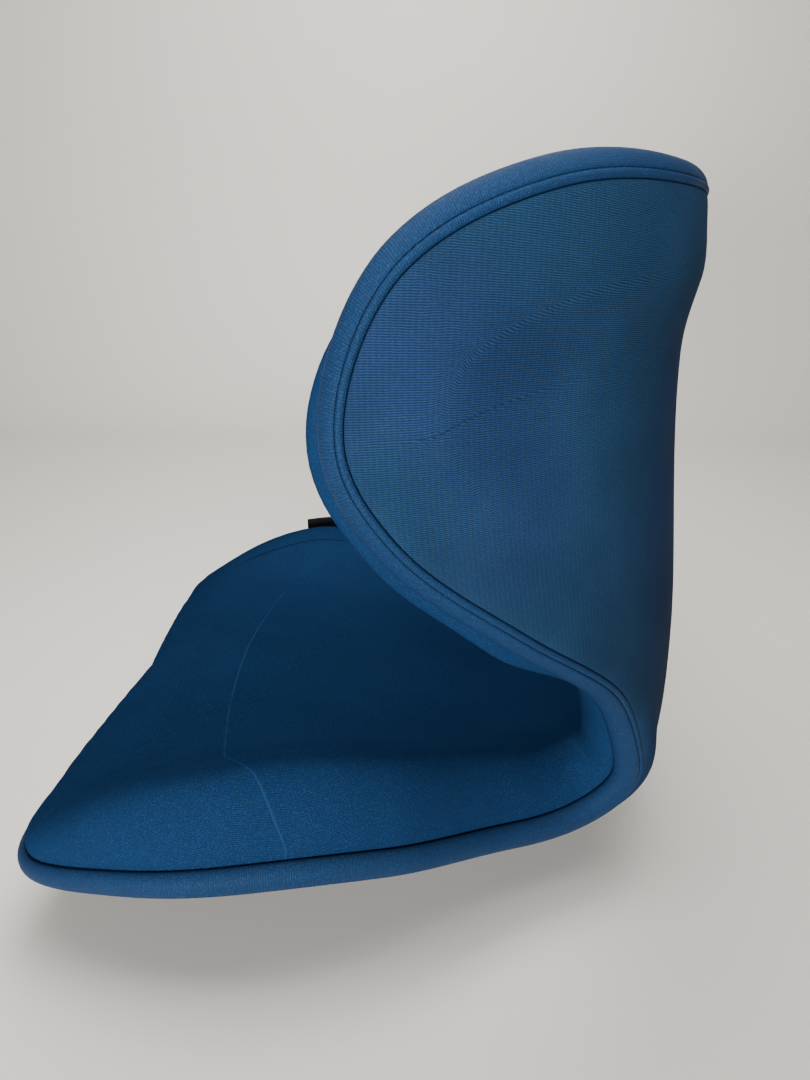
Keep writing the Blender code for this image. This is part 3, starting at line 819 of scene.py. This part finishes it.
def area_light(name, place, target, size, power, colour=(1, 1, 1)):
    """Soft rectangular light that faces a target."""
    data = bpy.data.lights.new(name, "AREA")
    data.shape = "RECTANGLE"
    data.size, data.size_y = size
    data.energy = power
    data.color = colour
    made = bpy.data.objects.new(name, data)
    made.location = place
    made.rotation_euler = (Vector(target) - Vector(place)).to_track_quat("-Z", "Y").to_euler()
    bpy.context.scene.collection.objects.link(made)


def make_studio():
    """Pale floor that curves up into a backdrop, a low side light and a light on the backdrop."""
    pale = bpy.data.materials.new("pale_paper")
    pale.use_nodes = True
    shader = pale.node_tree.nodes["Principled BSDF"]
    shader.inputs["Base Color"].default_value = (0.8, 0.775, 0.73, 1)
    shader.inputs["Roughness"].default_value = 0.85
    bend, wall = 0.5, -1.6
    side = [(2.5, 0.0), (wall + bend, 0.0)]
    for a in np.linspace(0.1, math.pi / 2, 12):
        side.append((wall + bend - bend * math.sin(a), bend - bend * math.cos(a)))
    side += [(wall, 3.0)]
    points = [(x, y, z) for y in (-3.5, 3.5) for x, z in side]
    count = len(side)
    faces = [(k, k + 1, k + 1 + count, k + count) for k in range(count - 1)]
    mesh = bpy.data.meshes.new("backdrop")
    mesh.from_pydata(points, [], faces)
    mesh.shade_smooth()
    made = bpy.data.objects.new("backdrop", mesh)
    made.data.materials.append(pale)
    bpy.context.scene.collection.objects.link(made)
    world = bpy.data.worlds.new("studio")
    world.use_nodes = True
    background = world.node_tree.nodes["Background"]
    background.inputs["Color"].default_value = (0.86, 0.9, 1.0, 1)
    background.inputs["Strength"].default_value = SKY_STRENGTH
    bpy.context.scene.world = world
    area_light("key", KEY_PLACE, KEY_TARGET, KEY_SIZE, KEY_POWER, WARM_WHITE)
    area_light("wall_wash", WASH_PLACE, WASH_TARGET, WASH_SIZE, WASH_POWER, WARM_WHITE)


def finish_plain_nodes():
    """Grained and worn surfaces for the hard parts, whose shapes are already right."""
    shell = plain("moulded_shell", (0.018, 0.019, 0.022), 0.5, 420, 0.0002)
    base = plain("base_plastic", (0.014, 0.014, 0.016), 0.55, 380, 0.00025)
    pad = plain("pad_rubber", (0.02, 0.02, 0.021), 0.8, 700, 0.0003)
    steel = plain("screw_steel", (0.42, 0.42, 0.43), 0.35, 1500, 0.00005, metallic=1.0)
    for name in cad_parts:
        for key, finish in (("shell", shell), ("base", base), ("pad", pad), ("screw", steel)):
            if key in name:
                for slot in bpy.data.objects[name].material_slots:
                    slot.material = finish


def main():
    make_camera()
    make_studio()
    cushion = make_front_cushion()
    rear = make_rear_cover()
    band = make_band()
    welt = make_welt()
    front_thread = make_stitches("front_seam_stitches", 1.75, 5.45, 2.2, 3.0, 0.28)
    rear_thread = make_stitches("rear_seam_stitches", 2.35, -7.15, 2.3, 3.2, 0.32)
    tag = make_tag()
    cover = jersey("jersey", (0.0028, 0.0105, 0.031), (0.009, 0.031, 0.086), 0.0, crease=True)
    edge = jersey("edge_jersey", (0.003, 0.0105, 0.03), (0.0095, 0.032, 0.086), 0.06)
    knit = rib_knit("rib_knit", (0.0048, 0.0138, 0.034), (0.0115, 0.0305, 0.074))
    thread = plain("thread", (0.002, 0.009, 0.026), 0.7, 900, 0.0001, gloss=0.05)
    woven = plain("woven_tag_fabric", (0.005, 0.005, 0.006), 0.85, 1200, 0.0002, gloss=0.05)
    for made, finish in ((cushion, cover), (rear, knit), (band, edge), (welt, edge), (front_thread, thread),
                         (rear_thread, thread), (tag, woven)):
        made.data.materials.append(finish)
        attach(made, BODY)
    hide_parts("front_cover", "seat_foam", "back_foam")
    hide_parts("rear_cover")
    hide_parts("edge_band")
    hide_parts("piping")
    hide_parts("side_tag")
    finish_plain_nodes()


main()
